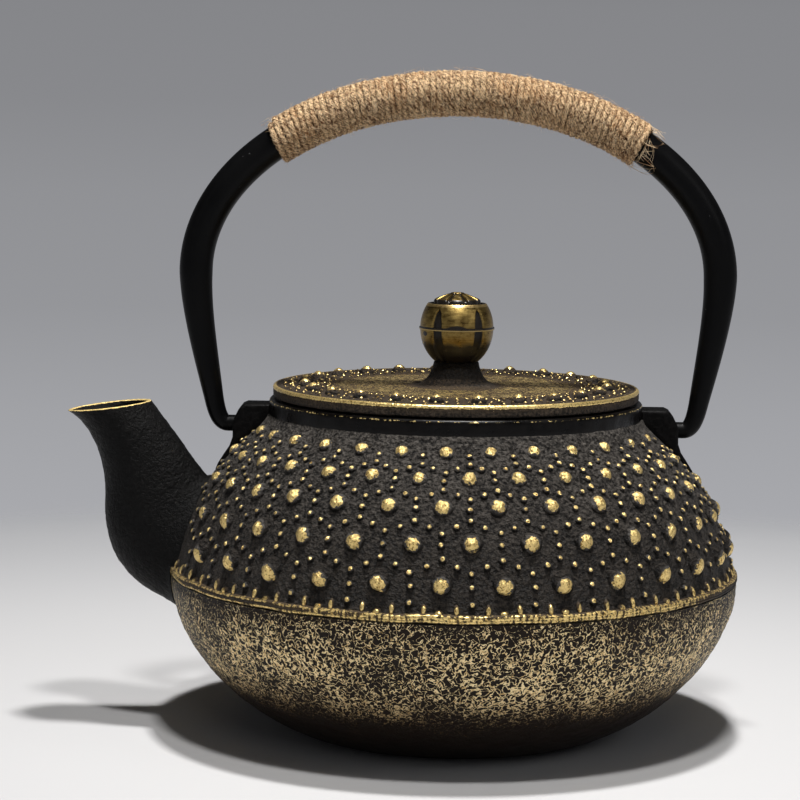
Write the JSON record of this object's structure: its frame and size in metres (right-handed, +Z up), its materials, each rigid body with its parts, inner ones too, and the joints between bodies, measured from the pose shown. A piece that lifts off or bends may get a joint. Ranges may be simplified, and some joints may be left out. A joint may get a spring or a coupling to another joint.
{
  "type": "cast iron teapot",
  "caption": "Round cast iron teapot with a hobnail dome, short spout, flat studded lid, brass ball knob and a swinging bail handle bound with jute.",
  "frame": {"origin": "centre of the foot's flat underside, on the surface that the teapot stands on", "axes": "+Z up; -X towards the spout; the bail handle hinges about the X axis and stands in the XZ plane at rest"},
  "size_m": [0.2071, 0.175, 0.2024],
  "materials": {
    "pot_iron": "black enamelled cast iron, dry-brushed with gold on the studs, the ridge and the bowl",
    "spout_iron": "satin black cast iron with a leathery cast grain and a thin gold line round the lip",
    "handle_paint": "satin black paint on steel",
    "jute": "close turns of undyed jute twine with loose fibres",
    "lid_iron": "black cast iron with a brushed gold edge, gold-tipped studs and a fine gold grain",
    "knob_brass": "aged brass with a dark patina in the flutes and below the seam",
    "plain_steel": "brushed stainless steel"
  },
  "bodies": {
    "pot": {"pot_bowl": "pot_iron", "pot_dome": "pot_iron", "spout": "spout_iron", "lug_spout_side": "pot_iron", "lug_back_side": "pot_iron"},
    "handle": {"bail_handle": "handle_paint", "hook_pin_spout_side": "handle_paint", "hook_pin_back_side": "handle_paint", "grip_wrap": "jute"},
    "infuser": {"infuser_collar": "plain_steel", "infuser_wall": "plain_steel", "infuser_floor": "plain_steel"},
    "lid": {"lid": "lid_iron"},
    "knob": {"knob_lower_shell": "knob_brass", "knob_upper_shell": "knob_brass", "knob_rosette": "knob_brass", "knob_rivet": "plain_steel", "knob_washer": "plain_steel"}
  },
  "joints": [
    {"name": "handle_swing", "type": "hinge", "parent": "pot", "child": "handle", "pos_m": [0, 0, 0.0935], "axis": [1, 0, 0], "range_deg": [-105, 105]},
    {"name": "infuser_lift", "type": "slide", "parent": "pot", "child": "infuser", "axis": [0, 0, 1], "range_m": [0, 0.05]},
    {"name": "lid_lift", "type": "slide", "parent": "infuser", "child": "lid", "axis": [0, 0, 1], "range_m": [0, 0.045]},
    {"name": "knob_turn", "type": "hinge", "parent": "lid", "child": "knob", "pos_m": [0, 0, 0.124], "axis": [0, 0, 1], "continuous": true}
  ]
}
